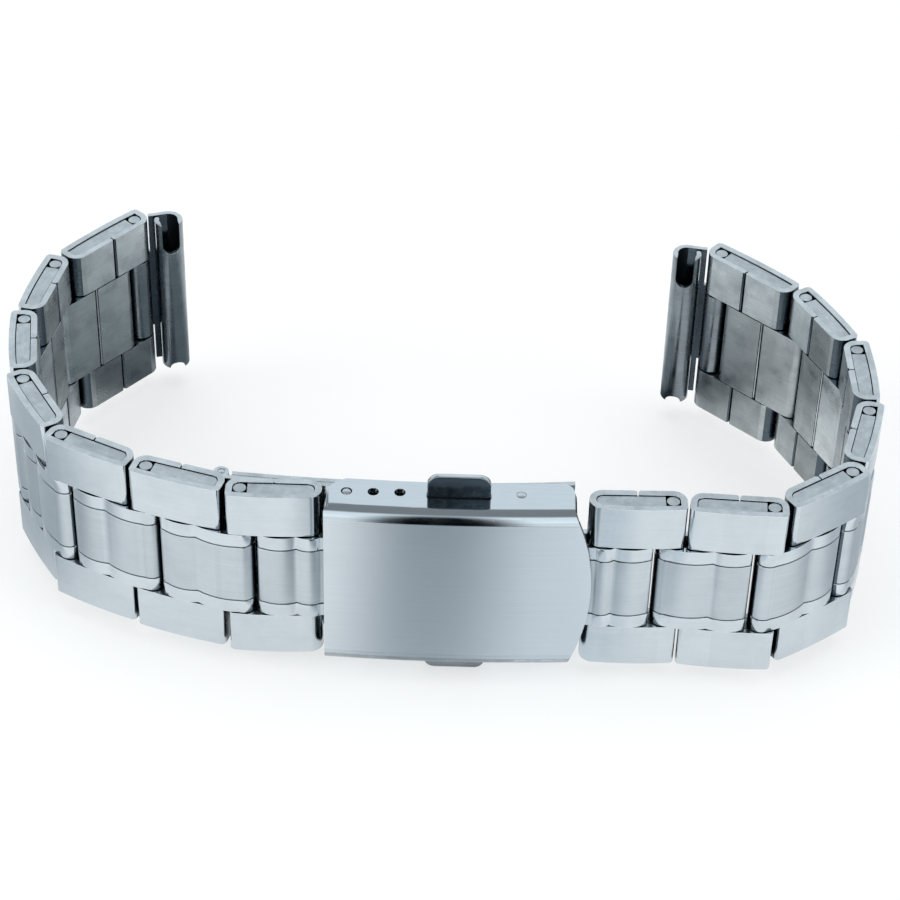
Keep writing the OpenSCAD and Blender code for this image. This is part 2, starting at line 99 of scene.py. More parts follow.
# An edge sharper than the first of these is rounded, and than the second it is a crease. A
# corner belongs to a curved shell where its face is within the third of the shell.
SHARP_ANGLE = math.radians(35)
CREASE_ANGLE = math.radians(48)
SHELL_ANGLE = math.radians(38)
ROUNDING_FACES = 2
# A face looks mostly, or squarely, one way when its normal has this much of that direction.
MOSTLY = 0.7
SQUARELY = 0.9

# Tarnish lies in clouds of this size. Noise from the first to the second value of a pair
# takes a finish from none of its tarnish or scratches, or from its smoothest, to the most.
TARNISH_TONE = "#565C5E"
TARNISH_MM = 3.5
TARNISH_NOISE = (0.45, 0.75)
SMUDGE_NOISE = (0.3, 0.7)
SCRATCH_NOISE = (0.64, 0.72)
# Stray scratches lean this far from the grain, in radians. Their scale is in 1/mm.
SCRATCH_LEAN = 0.11
SCRATCH_SCALE = (0.11, 7.0, 1)
# Painted shade in crevices, this far in: all at the first share of open sky, none at the second.
CREVICE_SHADE_TONE = "#12181D"
CREVICE_SHADE_REACH = 0.9 * MM
CREVICE_SHADE_SKY = (0.12, 0.62)
# The grain spreads a light across itself: a quarter turn from the map's tangent.
QUARTER_TURN = 0.25

WHITE = "#FFFFFF"


class Half(Enum):
    """The two halves of the band, named for the side of the clasp that they leave from."""

    LEFT = "left"
    RIGHT = "right"


class Slot(Enum):
    """The record's material slots."""

    BRUSHED = "brushed_steel"
    POLISHED = "polished_steel"
    INNER = "inner_steel"


def linear(hex_colour: str) -> tuple[float, float, float, float]:
    """Turns an sRGB hex colour into linear light.

    Args:
        hex_colour: six hex digits after a hash.

    Returns:
        Red, green, blue and a full alpha.
    """
    channels = [int(hex_colour[i : i + 2], 16) / 255 for i in (1, 3, 5)]
    red, green, blue = (
        c / 12.92 if c <= 0.04045 else ((c + 0.055) / 1.055) ** 2.4 for c in channels
    )
    return red, green, blue, 1.0


def add_node(
    tree: bpy.types.NodeTree,
    kind: str,
    inputs: dict[int | str, Any] | None = None,
    **settings: Any,
) -> bpy.types.Node:
    """Adds one node with its settings, values and links.

    Args:
        tree: the node tree that gets it.
        kind: the node's type.
        inputs: a value, or another node's output socket, for each input by name or number.
        **settings: the node's own properties.

    Returns:
        The new node.
    """
    node = tree.nodes.new(kind)
    for name, value in settings.items():
        setattr(node, name, value)
    for name, value in (inputs or {}).items():
        if isinstance(value, bpy.types.NodeSocket):
            tree.links.new(value, node.inputs[name])
        else:
            node.inputs[name].default_value = value
    return node


def blank_material(name: str) -> bpy.types.Material:
    """Makes a material with an empty node tree.

    Args:
        name: the material's name.

    Returns:
        The new material.
    """
    made = bpy.data.materials.new(name)
    made.use_nodes = True
    made.node_tree.nodes.clear()
    return made


def link_mesh(bm: bmesh.types.BMesh, name: str) -> bpy.types.Object:
    """Puts a bmesh into the scene as an object at the origin, and frees it.

    Args:
        bm: the shape.
        name: the name of the object and of its mesh.

    Returns:
        The new object.
    """
    mesh = bpy.data.meshes.new(name)
    bm.to_mesh(mesh)
    bm.free()
    obj = bpy.data.objects.new(name, mesh)
    bpy.context.scene.collection.objects.link(obj)
    return obj


@dataclass(frozen=True)
class SteelFinish:
    """One finish of the stainless steel sheet.

    Its pattern reads the piece's grain map, which is in millimetres: x along the band and y
    across it. The grain is a hair coarser than a real 240 grit brushing, so that it shows.
    """

    name: str
    tone: str
    shade: str
    roughness: float
    grain_width_mm: float
    grain_length_mm: float
    grain_depth_mm: float
    smudge_mm: float
    smudge: float
    spread: float = 0.0
    scratch_depth_mm: float = 0.0
    tarnish: float = 0.0
    variety: float = 0.0

    def material(self) -> bpy.types.Material:
        """Builds the finish as a material.

        Returns:
            The material, or the one already made for this finish.
        """
        made = bpy.data.materials.get(self.name)
        if made is not None:
            return made
        made = blank_material(self.name)
        tree = made.node_tree
        place = add_node(tree, "ShaderNodeUVMap", uv_map=GRAIN_MAP).outputs["UV"]
        grain = self.grain(tree, place)
        along = add_node(
            tree, "ShaderNodeTangent", direction_type="UV_MAP", uv_map=GRAIN_MAP
        ).outputs["Tangent"]
        steel = add_node(
            tree,
            "ShaderNodeBsdfPrincipled",
            {
                # The base colour carries painted shade in the crevices.
                "Base Color": self.paint_crevice_shade(tree, self.metal_colour(tree, place, grain)),
                "Metallic": 1.0,
                "Roughness": self.smudged_roughness(tree, place),
                "Anisotropic": self.spread,
                "Anisotropic Rotation": QUARTER_TURN,
                "Normal": self.relief(tree, place, grain),
                "Tangent": along,
            },
        )
        add_node(tree, "ShaderNodeOutputMaterial", {"Surface": steel.outputs["BSDF"]})
        return made

    def grain(
        self, tree: bpy.types.NodeTree, place: bpy.types.NodeSocket
    ) -> bpy.types.NodeSocket:
        """Draws the streaks of the brushing or rolling.

        Args:
            tree: the material's node tree.
            place: the grain map.

        Returns:
            The streaks, from 0 to 1.
        """
        stretched = add_node(
            tree,
            "ShaderNodeMapping",
            {"Vector": place, "Scale": (1 / self.grain_length_mm, 1 / self.grain_width_mm, 1)},
        ).outputs["Vector"]
        return add_node(
            tree, "ShaderNodeTexNoise", {"Vector": stretched, "Scale": 1.0, "Detail": 4.0}
        ).outputs["Fac"]

    def metal_colour(
        self,
        tree: bpy.types.NodeTree,
        place: bpy.types.NodeSocket,
        grain: bpy.types.NodeSocket,
    ) -> bpy.types.NodeSocket:
        """Colours the metal: its two tones, its clouds of tarnish and each flap's own share.

        Args:
            tree: the material's node tree.
            place: the grain map.
            grain: the streaks.

        Returns:
            The colour.
        """
        colour = add_node(
            tree,
            "ShaderNodeMix",
            {0: grain, 6: linear(self.shade), 7: linear(self.tone)},
            data_type="RGBA",
        ).outputs[2]
        if self.tarnish:
            clouds = add_node(
                tree,
                "ShaderNodeTexNoise",
                {"Vector": place, "Scale": 1 / TARNISH_MM, "Detail": 5.0, "Roughness": 0.62},
            ).outputs["Fac"]
            dulled = add_node(
                tree,
                "ShaderNodeMapRange",
                {
                    "Value": clouds,
                    "From Min": TARNISH_NOISE[0],
                    "From Max": TARNISH_NOISE[1],
                    "To Max": self.tarnish,
                },
            ).outputs["Result"]
            colour = add_node(
                tree,
                "ShaderNodeMix",
                {0: dulled, 6: colour, 7: linear(TARNISH_TONE)},
                data_type="RGBA",
            ).outputs[2]
        if self.variety:
            flap = add_node(tree, "ShaderNodeUVMap", uv_map=FLAP_MAP).outputs["UV"]
            chance = add_node(
                tree, "ShaderNodeTexWhiteNoise", {"Vector": flap}, noise_dimensions="2D"
            ).outputs["Value"]
            share = add_node(
                tree,
                "ShaderNodeMapRange",
                {"Value": chance, "To Min": 1 - self.variety, "To Max": 1 + self.variety},
            ).outputs["Result"]
            colour = add_node(
                tree, "ShaderNodeVectorMath", {0: colour, "Scale": share}, operation="SCALE"
            ).outputs["Vector"]
        return colour

    def paint_crevice_shade(
        self, tree: bpy.types.NodeTree, colour: bpy.types.NodeSocket
    ) -> bpy.types.NodeSocket:
        """Paints shade into the crevices, darkest where the least sky is open.

        Args:
            tree: the material's node tree.
            colour: the metal's colour.

        Returns:
            The colour with its painted shade.
        """
        open_sky = add_node(
            tree, "ShaderNodeAmbientOcclusion", {"Distance": CREVICE_SHADE_REACH}, samples=6
        ).outputs["AO"]
        unshaded = add_node(
            tree,
            "ShaderNodeMapRange",
            {"Value": open_sky, "From Min": CREVICE_SHADE_SKY[0], "From Max": CREVICE_SHADE_SKY[1]},
        ).outputs["Result"]
        return add_node(
            tree,
            "ShaderNodeMix",
            {0: unshaded, 6: linear(CREVICE_SHADE_TONE), 7: colour},
            data_type="RGBA",
        ).outputs[2]

    def smudged_roughness(
        self, tree: bpy.types.NodeTree, place: bpy.types.NodeSocket
    ) -> bpy.types.NodeSocket:
        """Varies the roughness with finger smudges.

        Args:
            tree: the material's node tree.
            place: the grain map.

        Returns:
            The roughness.
        """
        smudges = add_node(
            tree,
            "ShaderNodeTexNoise",
            {"Vector": place, "Scale": 1 / self.smudge_mm, "Detail": 3.0, "Roughness": 0.6},
        ).outputs["Fac"]
        return add_node(
            tree,
            "ShaderNodeMapRange",
            {
                "Value": smudges,
                "From Min": SMUDGE_NOISE[0],
                "From Max": SMUDGE_NOISE[1],
                "To Min": self.roughness * (1 - self.smudge),
                "To Max": self.roughness * (1 + self.smudge),
            },
        ).outputs["Result"]

    def relief(
        self,
        tree: bpy.types.NodeTree,
        place: bpy.types.NodeSocket,
        grain: bpy.types.NodeSocket,
    ) -> bpy.types.NodeSocket:
        """Cuts the grain, and any stray scratches, into the surface.

        Args:
            tree: the material's node tree.
            place: the grain map.
            grain: the streaks.

        Returns:
            The normal.
        """
        height = add_node(
            tree,
            "ShaderNodeMath",
            {0: grain, 1: self.grain_depth_mm * MM},
            operation="MULTIPLY",
        ).outputs[0]
        if self.scratch_depth_mm:
            slanted = add_node(
                tree,
                "ShaderNodeMapping",
                {"Vector": place, "Rotation": (0, 0, SCRATCH_LEAN), "Scale": SCRATCH_SCALE},
            ).outputs["Vector"]
            stray = add_node(
                tree, "ShaderNodeTexNoise", {"Vector": slanted, "Scale": 1.0, "Detail": 2.0}
            ).outputs["Fac"]
            dug = add_node(
                tree,
                "ShaderNodeMapRange",
                {
                    "Value": stray,
                    "From Min": SCRATCH_NOISE[0],
                    "From Max": SCRATCH_NOISE[1],
                    "To Max": self.scratch_depth_mm * MM,
                },
            ).outputs["Result"]
            height = add_node(
                tree, "ShaderNodeMath", {0: height, 1: dug}, operation="SUBTRACT"
            ).outputs[0]
        return add_node(
            tree, "ShaderNodeBump", {"Height": height, "Strength": 1.0, "Distance": 1.0}
        ).outputs["Normal"]


# Polished stainless steel: the sheet's mill polish, buffed. It mirrors the white table softly
# and carries fine hairlines and finger smudges.
POLISHED = SteelFinish(
    name="polished_stainless",
    tone="#D1D9DE",
    shade="#C7D0D6",
    roughness=0.14,
    grain_width_mm=0.25,
    grain_length_mm=6.0,
    grain_depth_mm=0.0006,
    smudge_mm=4.0,
    smudge=0.35,
    scratch_depth_mm=0.0016,
    tarnish=0.10,
    variety=0.03,
)
# Brushed stainless steel: belt-brushed along the band, which spreads a light across it.
BRUSHED = SteelFinish(
    name="brushed_stainless",
    tone="#CED6DB",
    shade="#B6BFC5",
    roughness=0.34,
    grain_width_mm=0.10,
    grain_length_mm=7.0,
    grain_depth_mm=0.0016,
    smudge_mm=5.0,
    smudge=0.15,
    spread=0.8,
    tarnish=0.10,
    variety=0.05,
)
# The cover's face: brushed finer than the links, so its streaks run nearly unseen.
SATIN = SteelFinish(
    name="satin_stainless",
    tone="#D9E0E5",
    shade="#CCD4DA",
    roughness=0.32,
    grain_width_mm=0.10,
    grain_length_mm=9.0,
    grain_depth_mm=0.001,
    smudge_mm=6.0,
    smudge=0.12,
    spread=0.6,
    scratch_depth_mm=0.006,
)
# The cover's bends and walls: mirror polished, so they show the room as bands.
MIRRORED = SteelFinish(
    name="mirror_stainless",
    tone="#CFD7DC",
    shade="#C3CCD2",
    roughness=0.11,
    grain_width_mm=0.20,
    grain_length_mm=5.0,
    grain_depth_mm=0.0005,
    smudge_mm=2.0,
    smudge=0.3,
)
# Cut sheet edges: sheared and tumbled, duller than the faces.
SHEARED = SteelFinish(
    name="sheared_stainless",
    tone="#DDE3E6",
    shade="#C6CED3",
    roughness=0.28,
    grain_width_mm=0.35,
    grain_length_mm=0.8,
    grain_depth_mm=0.002,
    smudge_mm=1.2,
    smudge=0.3,
    tarnish=0.30,
    variety=0.04,
)
# The wrist side as it left the press: grey, partly as painted shade of the band's inside,
# scuffed by wear, and each flap in its own tone.
PRESSED = SteelFinish(
    name="pressed_stainless",
    tone="#CCD3D5",
    shade="#A9B1B4",
    roughness=0.34,
    grain_width_mm=0.14,
    grain_length_mm=3.0,
    grain_depth_mm=0.003,
    smudge_mm=2.5,
    smudge=0.35,
    spread=0.3,
    tarnish=0.45,
    variety=0.42,
)
# The end pieces: drawn and rolled sheet, half bright, darker as painted shade and reflection.
ROLLED = SteelFinish(
    name="rolled_stainless",
    tone="#98A1A7",
    shade="#7C858C",
    roughness=0.24,
    grain_width_mm=0.18,
    grain_length_mm=7.0,
    grain_depth_mm=0.001,
    smudge_mm=2.0,
    smudge=0.4,
    scratch_depth_mm=0.002,
    tarnish=0.35,
)
# Stamped inserts, guides and springs: grey and matt.
STAMPED = SteelFinish(
    name="stamped_stainless",
    tone="#D6DCE0",
    shade="#B6BEC3",
    roughness=0.32,
    grain_width_mm=0.3,
    grain_length_mm=0.6,
    grain_depth_mm=0.003,
    smudge_mm=1.0,
    smudge=0.3,
    tarnish=0.25,
    variety=0.05,
)
# Painted highlight on rounded edges, with the wear of sleeves and the links' own play.
WORN_HIGHLIGHT = SteelFinish(
    name="worn_highlight_stainless",
    tone="#F0F4F6",
    shade="#DFE5E9",
    roughness=0.18,
    grain_width_mm=0.2,
    grain_length_mm=3.0,
    grain_depth_mm=0.0006,
    smudge_mm=1.5,
    smudge=0.3,
)
# Painted shade on rolled ends and plates that a close neighbour shades, and a painted dark
# reflection on a button's front.
SHADED = SteelFinish(
    name="painted_shade_stainless",
    tone="#66717A",
    shade="#4C575F",
    roughness=0.24,
    grain_width_mm=0.2,
    grain_length_mm=3.0,
    grain_depth_mm=0.001,
    smudge_mm=1.5,
    smudge=0.4,
)
# Painted shade: dark paint in the seams, bores and slots between the sheet and what it holds.
SEAM_SHADE = SteelFinish(
    name="seam_shade",
    tone="#3A4248",
    shade="#22282D",
    roughness=0.6,
    grain_width_mm=0.2,
    grain_length_mm=0.4,
    grain_depth_mm=0.002,
    smudge_mm=0.8,
    smudge=0.2,
)


@dataclass
class Unit:
    """One link unit's own axes: x far along the band, y towards the wrist, z up."""

    near: Vector
    far: Vector
    order: int

    def axes(self) -> Matrix:
        """Works out the unit's own axes.

        Returns:
            The matrix from the frame to them.
        """
        x = (self.far - self.near).normalized()
        z = Vector((0, 0, 1))
        y = z.cross(x)
        wrist = Vector((0, 0, 0))
        if (wrist - self.near).dot(y) < 0:
            y.negate()
        return Matrix((x, y, z)).to_4x4() @ Matrix.Translation(-self.near)


@dataclass
class Smith:
    """Turns CAD nodes into softened, finished pieces."""

    frame: dict[str, Any]
    body_of: dict[str, str] = field(default_factory=dict)

    def __post_init__(self) -> None:
        """Notes which body each node rides on."""
        bodies = self.frame["record"]["behaviour"]["bodies"]
        self.body_of = {node: body for body, nodes in bodies.items() for node in nodes}

    def merged(self, node: str) -> bmesh.types.BMesh:
        """Copies a CAD node's triangles and joins them into clean faces.

        Args:
            node: the CAD node's name.

        Returns:
            A new bmesh of the node's shape.
        """
        bm = bmesh.new()
        bm.from_mesh(self.frame["nodes"][node].data)
        bmesh.ops.remove_doubles(bm, verts=bm.verts, dist=MERGE_DISTANCE)
        bmesh.ops.dissolve_limit(bm, angle_limit=LEVEL_ANGLE, verts=bm.verts, edges=bm.edges)
        return bm

    def soften(self, bm: bmesh.types.BMesh, radius: float) -> set[bmesh.types.BMFace]:
        """Rounds every sharp outer edge, as tumbling does.

        Args:
            bm: the piece.
            radius: how far from the edge the rounding starts.

        Returns:
            The rounding's faces.
        """
        sharp = [
            e
            for e in bm.edges
            if len(e.link_faces) == 2 and e.is_convex and e.calc_face_angle() > SHARP_ANGLE
        ]
        rounded = bmesh.ops.bevel(
            bm,
            geom=sharp,
            offset=radius,
            offset_type="OFFSET",
            segments=ROUNDING_FACES,
            profile=0.5,
            affect="EDGES",
            clamp_overlap=True,
            material=-1,
        )
        return set(rounded["faces"])

    def score(self, bm: bmesh.types.BMesh, height: float) -> None:
        """Divides the faces along a level line, so that a finish can end there.

        Args:
            bm: the piece.
            height: the line's height.
        """
        bmesh.ops.bisect_plane(
            bm,
            geom=[*bm.verts, *bm.edges, *bm.faces],
            plane_co=(0, 0, height),
            plane_no=(0, 0, 1),
        )

    def grain(self, bm: bmesh.types.BMesh, axes: Matrix, shift: float) -> None:
        """Writes the grain map, in millimetres along the piece and across it, and the flap map.

        The flap map has one place for the whole of each folded flap, so that flaps differ.

        Args:
            bm: the piece.
            axes: the matrix from the frame to the piece's own axes.
            shift: a shift in millimetres, so that no two pieces have the same grain.
        """
        grain = bm.loops.layers.uv.new(GRAIN_MAP)
        flaps = bm.loops.layers.uv.new(FLAP_MAP)
        turn = axes.to_3x3()
        middle = sum((v.co.z for v in bm.verts), 0.0) / len(bm.verts)
        for face in bm.faces:
            flat = abs((turn @ face.normal).z) > MOSTLY
            centre = axes @ face.calc_center_median()
            flap = (math.floor(centre.x / FLAP_LENGTH) + shift, float(centre.z > middle))
            for loop in face.loops:
                p = axes @ loop.vert.co
                across = p.y if flat else p.z
                loop[grain].uv = (p.x / MM + shift, across / MM + shift * ACROSS_SHIFT)
                loop[flaps].uv = flap

    def curve(self, mesh: bpy.types.Mesh, true_normal: Callable[[Vector], Vector]) -> None:
        """Gives the corners that lie on a curved shell the normals of its true curve.

        Args:
            mesh: the piece's mesh.
            true_normal: returns the shell's normal at a place.
        """
        normals = []
        for face in mesh.polygons:
            for corner in face.loop_indices:
                true = true_normal(mesh.vertices[mesh.loops[corner].vertex_index].co)
                on_shell = true.dot(face.normal) > math.cos(SHELL_ANGLE)
                normals.append(true if on_shell else mesh.corner_normals[corner].vector.copy())
        mesh.normals_split_custom_set(normals)

    def piece(
        self,
        bm: bmesh.types.BMesh,
        name: str,
        node: str,
        finishes: list[SteelFinish],
        slot: Slot,
        true_normal: Callable[[Vector], Vector] | None = None,
    ) -> bpy.types.Object:
        """Makes a finished piece of a bmesh and lets it stand for a CAD node.

        Args:
            bm: the piece's shape, with its material numbers set.
            name: the piece's name.
            node: the CAD node that it stands for.
            finishes: the finishes in the order of the material numbers.
            slot: the record's material slot; not used.
            true_normal: the normal of the piece's curved shell at a place, if it has one.

        Returns:
            The new object.
        """
        obj = link_mesh(bm, name)
        mesh = obj.data
        mesh.polygons.foreach_set("use_smooth", [True] * len(mesh.polygons))
        mesh.set_sharp_from_angle(angle=CREASE_ANGLE)
        for finish in finishes:
            mesh.materials.append(finish.material())
        if true_normal:
            self.curve(mesh, true_normal)
        else:
            weighted = obj.modifiers.new("flat faces stay flat", "WEIGHTED_NORMAL")
            weighted.keep_sharp = True
        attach(obj, self.body_of[node])
        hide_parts(node)
        LOG.info("%s stands for %s: %d faces", name, node, len(mesh.polygons))
        return obj


@dataclass
class BandHalf:
    """One half of the band: its units of two outer links, a centre link and an insert."""

    smith: Smith
    half: Half
    units: int = 7
    outer_row: float = 4.6 * MM
    row_gap: float = 0.1 * MM
    groove_inset: float = 1.4 * MM
    band_width: float = 18.9 * MM
    edge_z: float = 2.2 * MM
    soft_edge: float = 0.11 * MM
    # The width of the painted shade in the seam round an insert's and a pin's end.
    seam: float = 0.03 * MM
    # The tube and the knuckle reach this far from their axes, and the plate lies beyond. A
    # face is in the tube's bore where its normal has less than this of the way outwards.
    tube_reach: float = 1.7 * MM
    bore_inwards: float = -0.3
    # Where each finish starts, as a part of a face's normal in the unit's own axes.
    highlight_until: float = 0.3
    wrist_side: float = 0.6
    outer_roll: float = 0.45
    centre_roll: float = 0.7
    roll_until: float = -0.2
    end_front: float = -0.3
    # The shifts of the grain map in millimetres: for each step of a unit's order, and the end
    # piece's own. The left half's order starts after the right half's.
    outer_shift: float = 23.0
    centre_shift: float = 31.0
    core_shift: float = 37.0
    end_shift: float = 300.0
    left_order: int = 20

    def pins(self) -> list[Vector]:
        """Reads the hinge places from the record.

        Returns:
            The place of each hinge from the clasp to the end piece.
        """
        joints = {j["name"]: j for j in self.smith.frame["joints"]}
        names = [f"{self.half.value}_hinge_{k}" for k in range(1, self.units + 1)]
        found = [joints[n]["pos_m"] for n in [*names, f"{self.half.value}_end_hinge"]]
        return [Vector((p[0], p[1], 0)) for p in found]

    def unit(self, k: int) -> Unit:
        """Finds one unit of the half.

        Args:
            k: the unit's number from the clasp, from 1.

        Returns:
            The unit between its two hinges.
        """
        pins = self.pins()
        first = self.left_order if self.half is Half.LEFT else 0
        return Unit(pins[k - 1], pins[k], first + k)

    def outer_links(self, k: int) -> None:
        """Dresses a unit's two outer links, with painted shade on the rolled wrist-side ends.

        Args:
            k: the unit's number from the clasp.
        """
        node = f"{self.half.value}_outer_links_{k}"
        finishes = [POLISHED, SHEARED, PRESSED, WORN_HIGHLIGHT, SHADED]
        axes = self.unit(k).axes()
        bm = self.smith.merged(node)
        highlit_edges = self.smith.soften(bm, self.soft_edge)
        turn = axes.to_3x3()
        for face in bm.faces:
            n = turn @ face.normal
            # Rounded edges that face out get a painted highlight, with their wear.
            if face in highlit_edges and n.y < self.highlight_until:
                face.material_index = finishes.index(WORN_HIGHLIGHT)
            elif abs(n.z) > MOSTLY:
                face.material_index = finishes.index(SHEARED)
            # Rolled ends on the wrist side get painted shade.
            elif abs(n.x) > self.outer_roll and n.y > self.roll_until:
                face.material_index = finishes.index(SHADED)
            elif n.y > self.wrist_side:
                face.material_index = finishes.index(PRESSED)
        self.smith.grain(bm, axes, self.outer_shift * self.unit(k).order)
        self.smith.piece(bm, f"{self.half.value}_outer_pair_{k}", node, finishes, Slot.POLISHED)

    def centre_link(self, k: int) -> None:
        """Dresses a unit's centre link: brushed between its grooves and polished outside them.

        Args:
            k: the unit's number from the clasp.
        """
        node = f"{self.half.value}_centre_link_{k}"
        finishes = [BRUSHED, POLISHED, PRESSED, WORN_HIGHLIGHT, SHADED]
        axes = self.unit(k).axes()
        bm = self.smith.merged(node)
        highlit_edges = self.smith.soften(bm, self.soft_edge)
        turn = axes.to_3x3()
        low = self.edge_z + self.outer_row + self.row_gap + self.groove_inset
        high = 2 * self.edge_z + self.band_width - low
        for face in bm.faces:
            n = turn @ face.normal
            z = face.calc_center_median().z
            # Rounded edges that face out get a painted highlight, with their wear.
            if face in highlit_edges and n.y < self.highlight_until:
                face.material_index = finishes.index(WORN_HIGHLIGHT)
            # Rolled ends on the wrist side get painted shade.
            elif abs(n.x) > self.centre_roll and n.y > self.roll_until:
                face.material_index = finishes.index(SHADED)
            elif n.y > self.wrist_side:
                face.material_index = finishes.index(PRESSED)
            elif not low < z < high:
                face.material_index = finishes.index(POLISHED)
        self.smith.grain(bm, axes, self.centre_shift * self.unit(k).order)
        self.smith.piece(bm, f"{self.half.value}_centre_{k}", node, finishes, Slot.BRUSHED)

    def core(self, k: int) -> None:
        """Dresses a unit's insert and pin, with painted shade in the seam round their ends.

        Args:
            k: the unit's number from the clasp.
        """
        node = f"{self.half.value}_link_core_{k}"
        finishes = [STAMPED, SEAM_SHADE]
        axes = self.unit(k).axes()
        bm = self.smith.merged(node)
        ends = [f for f in bm.faces if abs(f.normal.z) > SQUARELY]
        # A thin rim round each end is painted dark, as the shade in its seam.
        rim = bmesh.ops.inset_individual(bm, faces=ends, thickness=self.seam, depth=0.0)
        for face in rim["faces"]:
            face.material_index = finishes.index(SEAM_SHADE)
        self.smith.grain(bm, axes, self.core_shift * self.unit(k).order)
        self.smith.piece(bm, f"{self.half.value}_core_{k}", node, finishes, Slot.INNER)

    def end_piece(self) -> None:
        """Dresses the end piece, whose tube takes the watch's spring bar.

        Its knuckle and tube keep the rolled finish, whose dark tone is painted shade. Its bore,
        and its plate towards the wrist, are painted shade; the plate is polished outside, and
        its cut edges are light.
        """
        node = f"{self.half.value}_end_piece"
        finishes = [ROLLED, SEAM_SHADE, SHADED, POLISHED, SHEARED]
        unit = self.unit(self.units)
        bm = self.smith.merged(node)
        self.smith.soften(bm, self.soft_edge)
        mounts = {m["name"]: m for m in self.smith.frame["record"]["mounts"]}
        bar = Vector(mounts[f"{self.half.value}_watch_bar_tube"]["pos_m"])
        turn = unit.axes().to_3x3()
        for face in bm.faces:
            from_bar = face.calc_center_median() - bar
            from_bar.z = 0
            from_pin = face.calc_center_median() - unit.far
            from_pin.z = 0
            inwards = from_bar.dot(face.normal) < self.bore_inwards * from_bar.length
            if abs(face.normal.z) > MOSTLY:
                face.material_index = finishes.index(SHEARED)
            # The bore gets painted shade.
            elif from_bar.length < self.tube_reach and inwards:
                face.material_index = finishes.index(SEAM_SHADE)
            elif (turn @ face.normal).y < self.end_front:
                face.material_index = finishes.index(POLISHED)
            # The plate towards the wrist gets painted shade.
            elif min(from_bar.length, from_pin.length) > self.tube_reach:
                face.material_index = finishes.index(SHADED)
        self.smith.grain(bm, unit.axes(), self.end_shift)
        self.smith.piece(bm, f"{self.half.value}_end", node, finishes, Slot.POLISHED)

    def build(self) -> None:
        """Dresses every unit of the half and its end piece."""
        for k in range(1, self.units + 1):
            self.outer_links(k)
            self.centre_link(k)
            self.core(k)
        self.end_piece()


